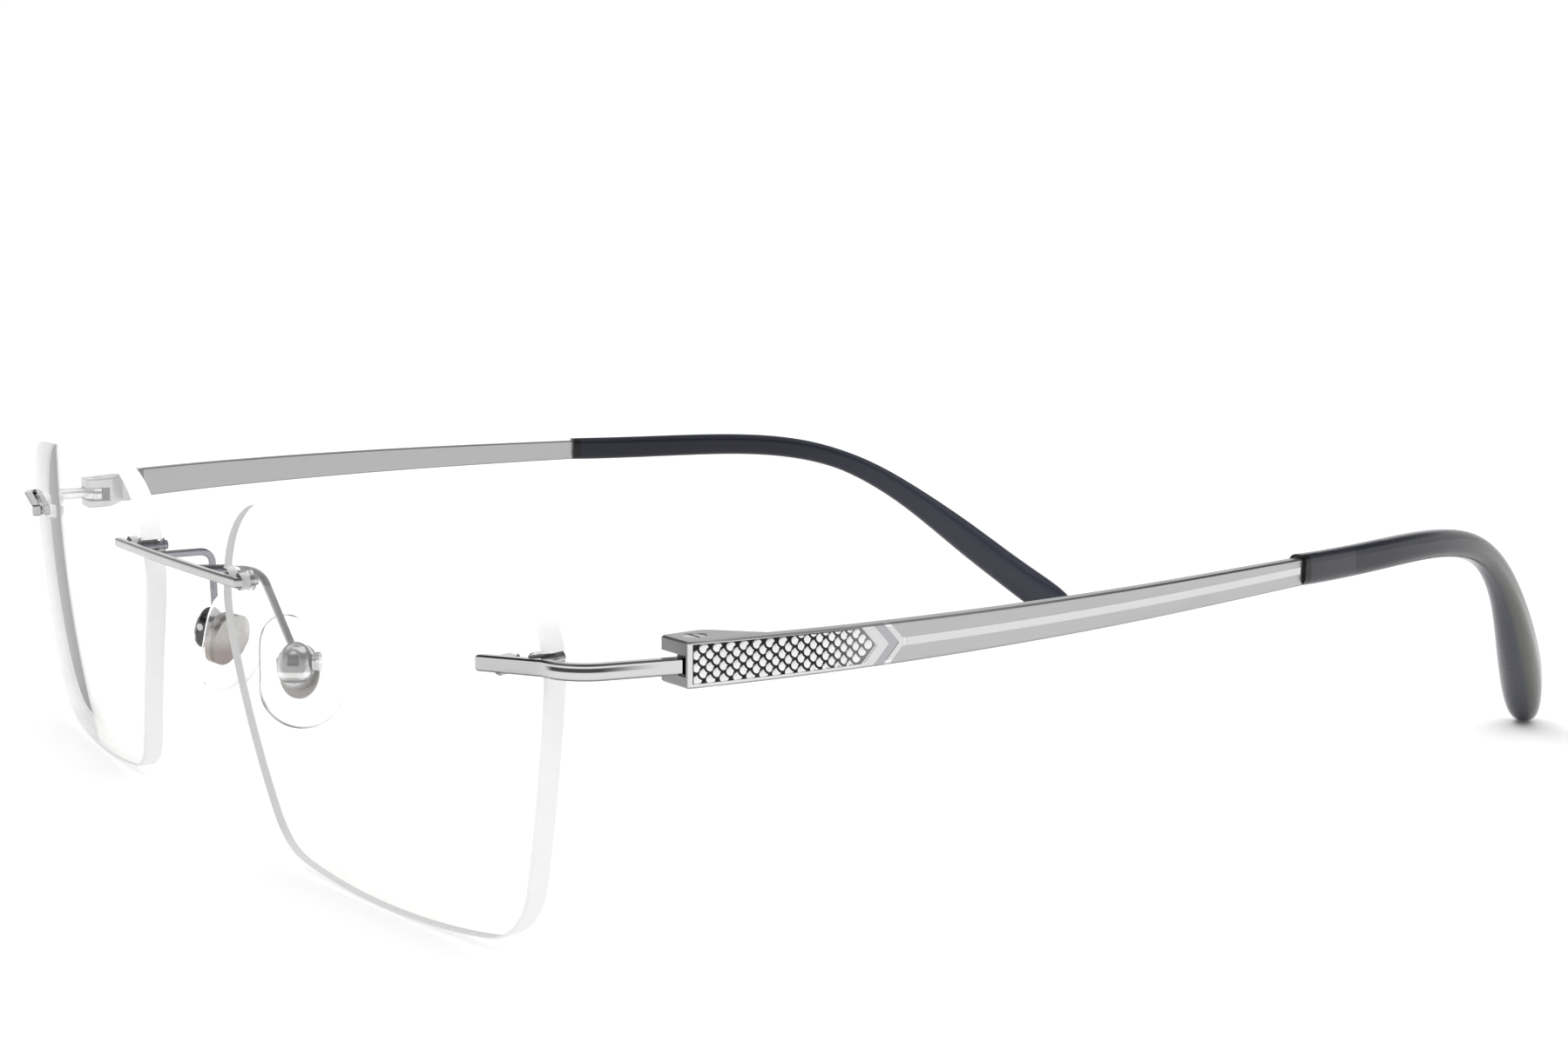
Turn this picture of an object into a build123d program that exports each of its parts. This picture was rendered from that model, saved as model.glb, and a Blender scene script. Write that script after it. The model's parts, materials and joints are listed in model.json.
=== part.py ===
from build123d import *
import os
from math import asin, degrees, sqrt

# Rimless eyeglasses, in millimetres. X = 0 is the plane of symmetry and +X is the
# wearer's left. The lenses face -Y, the temples run back along +Y, and the glasses
# stand on the table (Z = 0) on their lens bottoms and the ends of their temple tips.
# Everything is drawn with Y = 0 at the hinges, then moved so that Y = 0 is the
# middle of the whole depth.

os.makedirs("parts", exist_ok=True)

# ---------------------------------------------------------------- driving sizes
Y_CENTRE = 57.0

# lenses: 50 wide, 32 high, 19 apart
LENS_X = 34.5                # middle of a lens
LENS_Y = -11.8               # front apex of a lens
LENS_Z = 16.29
LENS_WRAP = 5.5              # degrees, outer edge further back
LENS_TILT = 4.2              # degrees, top edge further forward
LENS_FRONT_RADIUS = 200.0
LENS_BACK_RADIUS = 154.0
LENS_THICKNESS = 1.5         # at the middle
LENS_BEVEL = 0.2

# rimless mounts: each bar has a pin in a drilled hole and a peg in an edge notch
PIN_RADIUS = 0.45
PIN_START = -0.5             # inside the bar, measured from the lens front
PIN_OVERHANG = 0.65          # how far a pin stands out behind the lens
SLEEVE_RADIUS = 0.75
FLANGE_RADIUS = 0.88
FLANGE_THICKNESS = 0.25
BUSHING_GAP = 0.06
NASAL_HOLE = (-20.6, 7.8)    # across and up from the lens middle
NASAL_NOTCH = (-23.5, 7.8)
TEMPORAL_HOLE = (20.0, 6.6)
TEMPORAL_NOTCH = (24.0, 7.3)
NOTCH_REACH = 3.0            # the cut runs out past the edge
BLOCK_REACH = 0.75           # the bushing ends at the edge

# bridge bar
BRIDGE_LENGTH = 31.0
BRIDGE_FRONT_Y = -14.4
BRIDGE_BOW = 0.3
BRIDGE_DEPTH = 0.86
BRIDGE_HEIGHT = 0.88
BRIDGE_Z = 24.25
BAR_EDGE_ROUND = 0.28

# end pieces
BAR_THICKNESS = 0.9
BAR_END = (53.1, -10.12)
BAR_CORNER = (63.4, -8.15)
BAR_REAR = (64.85, -0.3)
BAR_BEND_RADIUS = 3.2
BAR_NASAL_Z = (22.4, 23.6)
BAR_END_ROUND = 0.3
BAR_BEVEL = 0.14
BAR_LEVEL_X = 60.5           # from here outward the bar is level
BAR_LEVEL_Z = (23.08, 24.3)

# hinges
PIVOT_X = 63.85
PIVOT_Y = 1.55
EYE_RADIUS = 1.2
SCREW_RADIUS = 0.5
SCREW_CLEARANCE = 0.05
SCREW_HEAD_RADIUS = 0.9
SCREW_HEAD_HEIGHT = 0.5
HEAD_BOTTOM = 22.1
HEAD_TOP = 25.5
DRIVE_WIDTH = 0.25
DRIVE_DEPTH = 0.22
HEAD_INNER_X = 62.1
HEAD_FRONT_Y = -0.3
HEAD_BACK_Y = 3.3
HEAD_RAMP_END = (66.0, 6.4)
HEAD_FRONT_ROUND = 0.3
HEAD_BACK_ROUND = 1.6
HEAD_OUTER_ROUND = 0.3
SLOT_Z = (22.92, 24.46)
SLOT_OUTER_X = 65.6
SLOT_BACK_Y = 2.95

# temples
TEMPLE_OUTER = [(65.8, -0.3), (68.2, 12.0), (68.95, 25.0), (68.1, 40.0), (65.5, 57.2), (64.35, 63.6)]
TEMPLE_INNER = [(63.3, 63.6), (64.4, 57.2), (66.95, 40.0), (67.7, 25.0), (66.95, 12.0), HEAD_RAMP_END]
TEMPLE_TOP = [(-0.3, 25.5), (31.0, 26.1), (63.6, 26.35)]
TEMPLE_BOTTOM = [(63.6, 23.98), (31.0, 23.2), (-0.3, 22.1)]
BLADE_BEVEL = 0.15
PLATE_START_Y = 0.1
PLATE_CORNER_Y = 13.1
PLATE_POINT_Y = 14.3
PLATE_START_Z = (22.45, 25.3)
PLATE_CORNER_Z = (22.95, 25.65)
PLATE_DEPTH = 0.22

# temple tips, with the flat metal tang and the round core wire inside them
TIP_CURVE = [
    (63.85, 63.0, 25.3), (60.6, 78.1, 25.26), (54.2, 99.1, 22.82), (46.5, 114.7, 12.04), (38.3, 127.44, 1.11),
]
TIP_STATIONS = [0.0, 0.08, 0.16, 0.24, 0.32, 0.41, 0.5, 0.6, 0.7, 0.79, 0.88, 0.96, 1.0]
TIP_HEIGHTS = [2.73, 2.77, 2.76, 2.73, 2.69, 2.66, 2.65, 3.05, 3.7, 4.23, 4.45, 4.4, 2.6]
TIP_WIDTHS = [1.8, 1.86, 1.97, 2.17, 2.25, 2.25, 2.25, 2.73, 3.5, 4.14, 4.36, 3.6, 2.5]
TIP_CORNER_SHARE = 0.42      # corner radius as a share of the width
TANG_SHARE = 0.12
TANG_WIDTH = 0.8
TANG_HEIGHT = 1.5
WIRE_RADIUS = 0.5
WIRE_SHARE = 0.6

# nose pads
ARM_WIDTH = 0.68
ARM_THICKNESS = 0.52
ARM_ROUND = 0.2
ARM_ROOT = (4.9, -13.8, 24.22)
ARM_BEND = (6.5, -7.8, 24.0)
ARM_END = (10.1, -6.25, 16.9)
ARM_BEND_RADIUS = 1.9
PAD_PLACE = (11.0, -6.5, 16.2)
PAD_SPLAY = 34.0             # degrees, rear edge further out
PAD_LEAN = 15.0              # degrees, lower edge further out
CUP_OUTER = 1.0              # outer face of the cup, measured from the screw's axis
CUP_INNER = -1.15            # open side, towards the nose
CUP_WIDTH = 3.2
CUP_HEIGHT = 4.2
CUP_DROP = 0.35
CUP_ROUND = 0.95
CUP_HOLLOW = ((-0.8, -1.1), (0.65, 0.8, 0.85))   # front lower corner, outer rear upper corner
CUP_WINDOW = 1.0
LUG_WIDTH = 1.4
LUG_RADIUS = 0.6
PAD_SCREW_RADIUS = 0.35
PAD_SCREW_HEAD_RADIUS = 0.85
PAD_SCREW_HEAD = 0.6
INSERT_OUTER = -1.6          # outer face of the insert plate
INSERT_THICKNESS = 0.5
INSERT_WIDTH = 3.6
INSERT_HEIGHT = 5.0
INSERT_DROP = 0.75
PAD_OUTER = -1.8             # outer face of the silicone
PAD_THICKNESS = 2.4
PAD_LOWER_ROUND = (0.3, -2.2, 3.8)   # back, up and radius
PAD_UPPER_ROUND = (-1.5, 2.3, 2.3)
PAD_EDGE_ROUND = 0.8


def mirrored(part):
    return mirror(part, about=Plane.YZ)


def rod(radius, start, end):
    """A cylinder along the local Y axis, from start to end."""
    body = Cylinder(radius, end - start, rotation=(90, 0, 0))
    return Pos(0, (start + end) / 2, 0) * body


def slab(low, high):
    """A box from its lowest to its highest corner."""
    size = [b - a for a, b in zip(low, high)]
    middle = [(a + b) / 2 for a, b in zip(low, high)]
    return Pos(*middle) * Box(*size)


# ---------------------------------------------------------------- lenses
lens_place = Pos(LENS_X, LENS_Y, LENS_Z) * Rot(Z=LENS_WRAP) * Rot(X=LENS_TILT)


def on_lens(point):
    """Place at a point of the lens front, with local +Y running straight into the lens."""
    across, up = point
    depth = LENS_FRONT_RADIUS - sqrt(LENS_FRONT_RADIUS**2 - across**2 - up**2)
    turn = degrees(asin(across / LENS_FRONT_RADIUS))
    lean = degrees(asin(-up / LENS_FRONT_RADIUS))
    return lens_place * Pos(across, depth, up) * Rot(Z=turn) * Rot(X=lean)


def lens_depth(point):
    """Thickness of the lens at a point of its front."""
    squared = point[0]**2 + point[1]**2
    front = LENS_FRONT_RADIUS - sqrt(LENS_FRONT_RADIUS**2 - squared)
    back = LENS_BACK_RADIUS - sqrt(LENS_BACK_RADIUS**2 - squared)
    return LENS_THICKNESS + back - front


def make_lens_blank():
    """A soft trapezoid, wider at the top and cut back along the nose, between two spheres."""
    corners = [(-27.0, 14.1), (25.8, 13.6), (19.6, -14.9), (-16.6, -15.2)]
    middles = [(0.5, 15.6), (24.0, -0.6), (0.5, -16.4), (-23.0, -0.8)]
    radii = [9.5, 8.0, 7.5, 6.0]
    edges = [ThreePointArc(corners[i], middles[i], corners[(i + 1) % 4]) for i in range(4)]
    outline = make_face(edges)
    for corner, radius in zip(corners, radii):
        nearest = outline.vertices().sort_by_distance(Vector(*corner))[0]
        outline = fillet(nearest, radius)
    blank = extrude(Plane.XZ * outline, 12, both=True)
    front = Pos(0, LENS_FRONT_RADIUS, 0) * Sphere(LENS_FRONT_RADIUS)
    back = Pos(0, LENS_THICKNESS + LENS_BACK_RADIUS, 0) * Sphere(LENS_BACK_RADIUS)
    lens = (blank & front) - back
    lens = chamfer(lens.faces().filter_by(GeomType.SPHERE).edges(), LENS_BEVEL)
    return lens_place * lens


def notch_shape(point, side, reach, start, end):
    """A slot that is round at its inner end and runs out over the lens edge."""
    body = rod(SLEEVE_RADIUS, start, end)
    run = Box(reach, end - start, 2 * SLEEVE_RADIUS)
    body += Pos(side * reach / 2, (start + end) / 2, 0) * run
    return on_lens(point) * body


def make_mount(hole, notch, side):
    """One bar's mount on one lens: the lens cut, the pins, and the two clear bushings."""
    hole_depth = lens_depth(hole)
    notch_depth = lens_depth(notch)
    cut = on_lens(hole) * rod(SLEEVE_RADIUS, -2, 5)
    cut += notch_shape(notch, side, NOTCH_REACH, -2, 5)
    pins = on_lens(hole) * rod(PIN_RADIUS, PIN_START, hole_depth + PIN_OVERHANG)
    pins += on_lens(notch) * rod(PIN_RADIUS, PIN_START, notch_depth + PIN_OVERHANG)
    flange_start = hole_depth + BUSHING_GAP
    sleeve = rod(SLEEVE_RADIUS, 0, flange_start)
    sleeve += rod(FLANGE_RADIUS, flange_start, flange_start + FLANGE_THICKNESS)
    sleeve = on_lens(hole) * sleeve - pins
    block = notch_shape(notch, side, BLOCK_REACH, 0, notch_depth + 0.2) - pins
    return cut, pins, sleeve, block


nasal_cut, nasal_pins, nasal_sleeve, nasal_block = make_mount(NASAL_HOLE, NASAL_NOTCH, -1)
outer_cut, outer_pins, outer_sleeve, outer_block = make_mount(TEMPORAL_HOLE, TEMPORAL_NOTCH, 1)
lens_left = make_lens_blank() - nasal_cut - outer_cut
sleeves = [nasal_sleeve, outer_sleeve]
blocks = [nasal_block, outer_block]


# ---------------------------------------------------------------- bridge bar
def make_bridge():
    half = BRIDGE_LENGTH / 2
    end_y = BRIDGE_FRONT_Y + BRIDGE_BOW
    front = ThreePointArc((-half, end_y), (0, BRIDGE_FRONT_Y), (half, end_y))
    back = front.moved(Location((0, BRIDGE_DEPTH, 0)))
    ends = [Line(front @ 0, back @ 0), Line(front @ 1, back @ 1)]
    outline = make_face([front, back] + ends)
    low = BRIDGE_Z - BRIDGE_HEIGHT / 2
    bar = Pos(0, 0, low) * extrude(outline, BRIDGE_HEIGHT)
    return fillet(bar.edges(), BAR_EDGE_ROUND) + nasal_pins + mirrored(nasal_pins)


bridge_bar = make_bridge()


# ---------------------------------------------------------------- end pieces
def make_end_piece():
    """A bar across the lens front, bent back to a flat tongue with an eye round the screw."""
    centre = FilletPolyline(BAR_END, BAR_CORNER, BAR_REAR, radius=BAR_BEND_RADIUS)
    strip = trace(centre, BAR_THICKNESS)
    outer_x = BAR_REAR[0] + BAR_THICKNESS / 2
    inner_x = BAR_REAR[0] - BAR_THICKNESS / 2
    eye = Pos(PIVOT_X, PIVOT_Y) * Circle(EYE_RADIUS)
    neck_middle = ((inner_x + outer_x) / 2, (BAR_REAR[1] + PIVOT_Y) / 2)
    neck = Pos(*neck_middle) * Rectangle(outer_x - inner_x, PIVOT_Y - BAR_REAR[1])
    tongue = make_hull(eye.edges() + neck.edges())
    low_start, top_start = BAR_NASAL_Z
    low, top = BAR_LEVEL_Z
    heights = Polyline(
        (BAR_END[0] - 1, low_start), (BAR_END[0] - 1, top_start), (BAR_LEVEL_X, top),
        (outer_x + 1, top), (outer_x + 1, low), (BAR_LEVEL_X, low), close=True,
    )
    side = extrude(Plane.XZ * make_face(heights), 20, both=True)
    bar = extrude(strip, 30) & side
    tongue = extrude(tongue, 30) & side
    bar = fillet(bar.edges().group_by(Axis.X)[0], BAR_END_ROUND)
    long_edges = [edge for edge in bar.edges() if abs((edge % 0.5).Z) < 0.5 and edge.length > 1]
    bar = chamfer(long_edges, BAR_BEVEL)
    body = bar + tongue + outer_pins
    hole = Pos(PIVOT_X, PIVOT_Y, low) * Cylinder(SCREW_RADIUS + SCREW_CLEARANCE, 10)
    return body - hole


end_piece_left = make_end_piece()


# ---------------------------------------------------------------- temples
def make_strip(depth):
    """The outer skin of the temple as seen from above, depth thick."""
    outer = Spline(*TEMPLE_OUTER)
    inner = outer.moved(Location((-depth, 0, 0)))
    ends = [Line(outer @ 0, inner @ 0), Line(outer @ 1, inner @ 1)]
    return Pos(0, 0, 15) * extrude(make_face([outer, inner] + ends), 20)


def make_temple():
    outer = Spline(*TEMPLE_OUTER)
    inner = Spline(*TEMPLE_INNER)
    rest = Polyline(
        HEAD_RAMP_END, (HEAD_INNER_X, HEAD_BACK_Y), (HEAD_INNER_X, HEAD_FRONT_Y), TEMPLE_OUTER[0],
    )
    end = Line(TEMPLE_OUTER[-1], TEMPLE_INNER[0])
    plan = make_face([outer, end, inner, rest])
    front_inner = (HEAD_INNER_X, HEAD_FRONT_Y)
    back_inner = (HEAD_INNER_X, HEAD_BACK_Y)
    rounds = {front_inner: HEAD_FRONT_ROUND, back_inner: HEAD_BACK_ROUND, TEMPLE_OUTER[0]: HEAD_OUTER_ROUND}
    for point, radius in rounds.items():
        corner = plan.vertices().sort_by_distance(Vector(*point))[0]
        plan = fillet(corner, radius)
    plan = Pos(0, 0, 15) * extrude(plan, 20)
    top = ThreePointArc(*TEMPLE_TOP)
    bottom = ThreePointArc(*TEMPLE_BOTTOM)
    ends = [Line(top @ 1, bottom @ 0), Line(bottom @ 1, top @ 0)]
    side = extrude(Plane.YZ * make_face([top, bottom] + ends), 80)
    blade = plan & side
    blade = chamfer(blade.faces().sort_by(Axis.Z)[-1].edges(), BLADE_BEVEL)
    blade = chamfer(blade.faces().sort_by(Axis.Z)[0].edges(), BLADE_BEVEL)
    path = Spline(*TIP_CURVE)
    tang_path = path.trim(0, TANG_SHARE)
    tang = sweep(section_on(tang_path, 0, TANG_WIDTH, TANG_HEIGHT), path=tang_path)
    wire_path = path.trim(0, WIRE_SHARE)
    wire = sweep(Plane(wire_path @ 0, z_dir=wire_path % 0) * Circle(WIRE_RADIUS), path=wire_path)
    slot = slab((HEAD_INNER_X - 1, HEAD_FRONT_Y - 1, SLOT_Z[0]), (SLOT_OUTER_X, SLOT_BACK_Y, SLOT_Z[1]))
    return blade + tang + wire - slot


def section_on(path, share, width, height, corner=0.0):
    """An upright rectangle across the path."""
    plane = Plane(path @ share, x_dir=(path % share).cross(Vector(0, 0, 1)), z_dir=path % share)
    if corner:
        return plane * RectangleRounded(width, height, corner)
    return plane * Rectangle(width, height)


def make_tip():
    """The acetate tip before its socket is cut: rounded sections along its curve."""
    path = Spline(*TIP_CURVE)
    sections = []
    for share, height, width in zip(TIP_STATIONS, TIP_HEIGHTS, TIP_WIDTHS):
        sections.append(section_on(path, share, width, height, width * TIP_CORNER_SHARE))
    return loft(sections)


def make_plate():
    """The patterned inlay: a long plate with an arrow-shaped rear end."""
    low_start, top_start = PLATE_START_Z
    low_corner, top_corner = PLATE_CORNER_Z
    outline = Polyline(
        (PLATE_START_Y, low_start), (PLATE_START_Y, top_start), (PLATE_CORNER_Y, top_corner),
        (PLATE_POINT_Y, (low_corner + top_corner) / 2), (PLATE_CORNER_Y, low_corner), close=True,
    )
    side = extrude(Plane.YZ * make_face(outline), 80)
    return make_strip(PLATE_DEPTH) & side


def make_hinge_screw():
    """A flush screw down through the upper ear and the tongue into the lower ear."""
    low = HEAD_BOTTOM + 0.15
    shank = Cylinder(SCREW_RADIUS, HEAD_TOP - low, align=(Align.CENTER, Align.CENTER, Align.MIN))
    head = Cylinder(SCREW_HEAD_RADIUS, SCREW_HEAD_HEIGHT, align=(Align.CENTER, Align.CENTER, Align.MAX))
    screw = Pos(0, 0, low) * shank + Pos(0, 0, HEAD_TOP) * head
    drive = Pos(0, 0, HEAD_TOP) * Box(3, DRIVE_WIDTH, 2 * DRIVE_DEPTH)
    return Pos(PIVOT_X, PIVOT_Y, 0) * (screw - drive)


plate_left = make_plate()
hinge_screw_left = make_hinge_screw()
screw_space = Pos(PIVOT_X, PIVOT_Y, 0) * (
    Pos(0, 0, 23) * Cylinder(SCREW_RADIUS, 10)
    + Pos(0, 0, HEAD_TOP) * Cylinder(SCREW_HEAD_RADIUS, 2 * SCREW_HEAD_HEIGHT)
)
temple_left = make_temple() - plate_left - screw_space
temple_tip_left = make_tip() - temple_left


# ---------------------------------------------------------------- nose pads
pad_place = Pos(*PAD_PLACE) * Rot(Z=-PAD_SPLAY) * Rot(Y=-PAD_LEAN)


def make_cup_blank():
    """The oval cup before it is hollowed, domed on its outer side."""
    oval = Plane.YZ * Pos(0, -CUP_DROP) * Ellipse(CUP_WIDTH / 2, CUP_HEIGHT / 2)
    cup = Pos(CUP_INNER, 0, 0) * extrude(oval, CUP_OUTER - CUP_INNER)
    return fillet(cup.faces().sort_by(Axis.X)[-1].edges(), CUP_ROUND)


def make_pad_arm():
    """A flat wire that runs back from the bridge and turns down to the pad cup."""
    path = FilletPolyline(ARM_ROOT, ARM_BEND, ARM_END, radius=ARM_BEND_RADIUS)
    first = Vector(*ARM_BEND) - Vector(*ARM_ROOT)
    second = Vector(*ARM_END) - Vector(*ARM_BEND)
    plane = Plane(path @ 0, x_dir=first.cross(second), z_dir=path % 0)
    arm = sweep(plane * RectangleRounded(ARM_THICKNESS, ARM_WIDTH, ARM_ROUND), path=path)
    return arm - bridge_bar - pad_place * make_cup_blank()


def make_pad_cup():
    """The cup, hollow towards the nose, with a window in its outer face."""
    (front, low), (outer, rear, top) = CUP_HOLLOW
    half = CUP_WINDOW / 2
    cup = make_cup_blank() - slab((CUP_INNER - 1, front, low), (outer, rear, top))
    cup -= slab((0, -half, -half), (CUP_OUTER + 1, half, half))
    return pad_place * (cup - rod(PAD_SCREW_RADIUS, -3, 3))


def make_pad_screw():
    """A screw across the cup, its slotted head at the rear."""
    half = CUP_WIDTH / 2
    screw = rod(PAD_SCREW_RADIUS, -half, half) + rod(PAD_SCREW_HEAD_RADIUS, half, half + PAD_SCREW_HEAD)
    screw -= Pos(0, half + PAD_SCREW_HEAD, 0) * Box(3, 2 * DRIVE_DEPTH, DRIVE_WIDTH)
    return pad_place * screw


def make_insert():
    """The oval plate set in the silicone, with its lug inside the pad cup."""
    oval = Plane.YZ * Pos(0, -INSERT_DROP) * Ellipse(INSERT_WIDTH / 2, INSERT_HEIGHT / 2)
    plate = extrude(oval, -INSERT_THICKNESS)
    plate = Pos(INSERT_OUTER, 0, 0) * plate
    lug_low = (INSERT_OUTER - INSERT_THICKNESS / 2, -LUG_WIDTH / 2, -LUG_RADIUS)
    lug = slab(lug_low, (0, LUG_WIDTH / 2, LUG_RADIUS))
    lug += rod(LUG_RADIUS, -LUG_WIDTH / 2, LUG_WIDTH / 2)
    return pad_place * (plate + lug - rod(PAD_SCREW_RADIUS + SCREW_CLEARANCE, -3, 3))


def make_nose_pad():
    """A soft drop-shaped pad, rounded on the side that touches the nose."""
    rounds = []
    for back, up, radius in (PAD_LOWER_ROUND, PAD_UPPER_ROUND):
        rounds += (Pos(back, up) * Circle(radius)).edges()
    outline = Plane.YZ * make_hull(rounds)
    pad = Pos(PAD_OUTER, 0, 0) * extrude(outline, -PAD_THICKNESS)
    nose_side = pad.faces().sort_by(Axis.X)[0]
    pad = fillet(nose_side.edges(), PAD_EDGE_ROUND)
    return pad_place * pad


pad_cup_left = make_pad_cup()
pad_screw = make_pad_screw()
pad_insert_left = make_insert()
nose_pad_left = make_nose_pad() - pad_insert_left
pad_arm_left = make_pad_arm()

# ---------------------------------------------------------------- nodes
one_of_each_side = {
    "lens": lens_left,
    "end_piece": end_piece_left,
    "pad_arm": pad_arm_left,
    "pad_cup": pad_cup_left,
    "pad_insert": pad_insert_left,
    "nose_pad": nose_pad_left,
    "temple": temple_left,
    "temple_inlay": plate_left,
    "temple_tip": temple_tip_left,
    "hinge_screw": hinge_screw_left,
}
groups = {
    "bridge_bar": [bridge_bar],
    "hole_bushings": sleeves + [mirrored(part) for part in sleeves],
    "notch_bushings": blocks + [mirrored(part) for part in blocks],
    "pad_screws": [pad_screw, mirrored(pad_screw)],
}

nodes = {}
for name, part in one_of_each_side.items():
    nodes[name + "_left"] = [part]
    nodes[name + "_right"] = [mirrored(part)]
nodes.update(groups)

low_y, high_y = 1e9, -1e9
low_z = 1e9
for name, parts in nodes.items():
    solids = [Pos(0, -Y_CENTRE, 0) * solid for part in parts for solid in part.solids()]
    whole = solids[0] if len(solids) == 1 else Compound(children=solids)
    export_step(whole, f"parts/{name}.step")
    box = whole.bounding_box()
    low_y, high_y, low_z = min(low_y, box.min.Y), max(high_y, box.max.Y), min(low_z, box.min.Z)
    print(name, len(solids), round(whole.volume, 2), [round(v, 2) for v in (*box.min, *box.max)])
print("depth", round(low_y, 3), round(high_y, 3), "lowest", round(low_z, 3))
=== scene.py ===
import json
from math import cos, pi, radians, sin

import bmesh
import bpy
from mathutils import Matrix, Vector
from mathutils.bvhtree import BVHTree


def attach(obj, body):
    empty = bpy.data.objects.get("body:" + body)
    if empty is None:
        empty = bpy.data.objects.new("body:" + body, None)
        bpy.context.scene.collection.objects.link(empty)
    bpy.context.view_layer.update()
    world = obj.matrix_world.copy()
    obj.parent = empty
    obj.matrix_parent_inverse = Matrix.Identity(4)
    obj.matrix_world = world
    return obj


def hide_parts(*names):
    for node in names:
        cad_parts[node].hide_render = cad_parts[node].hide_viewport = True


# Rimless eyeglasses, in metres, in the CAD's frame: the lenses face -Y and the temples
# run back along +Y. Names that end in _MM are millimetres. Height is measured from the
# floor, "aside" from the plane of symmetry, and "run" backwards from the hinges. A pair is
# the start and the end of a stretch.
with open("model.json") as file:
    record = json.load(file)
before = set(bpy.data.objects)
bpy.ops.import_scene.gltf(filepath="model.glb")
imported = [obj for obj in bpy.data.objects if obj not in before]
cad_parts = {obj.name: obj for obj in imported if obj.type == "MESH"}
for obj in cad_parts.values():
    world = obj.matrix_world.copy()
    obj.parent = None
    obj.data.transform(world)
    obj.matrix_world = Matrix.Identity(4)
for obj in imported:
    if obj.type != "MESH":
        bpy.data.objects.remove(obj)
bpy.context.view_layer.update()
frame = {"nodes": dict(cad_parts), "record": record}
nodes = frame["nodes"]
MM = 0.001
HINGE_Y_MM = 57.0            # run is 0 this far in front of Y = 0, at the front of the hinges

# the nose pads' own origin, on the left, and how they are turned there
PAD_PLACE_MM = (11.0, -6.5 - HINGE_Y_MM, 16.2)
PAD_SPLAY = 34.0
PAD_LEAN = 15.0
PAD_TURN = Matrix.Rotation(radians(-PAD_SPLAY), 4, "Z") @ Matrix.Rotation(radians(-PAD_LEAN), 4, "Y")
PAD_FRAME = Matrix.Translation(Vector(PAD_PLACE_MM) * MM) @ PAD_TURN

# ---------------------------------------------------------------- camera
RIGHT = Vector((0.56466, 0.82531, 0.00414))        # the picture's directions, and the camera's place
UP = Vector((-0.10796, 0.06889, 0.99177))
BACK = Vector((0.81823, -0.56046, 0.128))
EYE = Vector((0.2038, -0.14359, 0.05505))
SENSOR_MM = 36.0
FOCAL_MM = 53.74
NEAREST = 0.005
FARTHEST = 30.0

camera_data = bpy.data.cameras.new("camera")
camera_data.sensor_width = SENSOR_MM
camera_data.lens = FOCAL_MM
camera_data.clip_start = NEAREST
camera_data.clip_end = FARTHEST
camera = bpy.data.objects.new("camera", camera_data)
camera.matrix_world = Matrix((
    (RIGHT.x, UP.x, BACK.x, EYE.x),
    (RIGHT.y, UP.y, BACK.y, EYE.y),
    (RIGHT.z, UP.z, BACK.z, EYE.z),
    (0.0, 0.0, 0.0, 1.0),
))
scene = bpy.context.scene
scene.collection.objects.link(camera)
scene.camera = camera
scene.view_settings.view_transform = "Standard"


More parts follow.
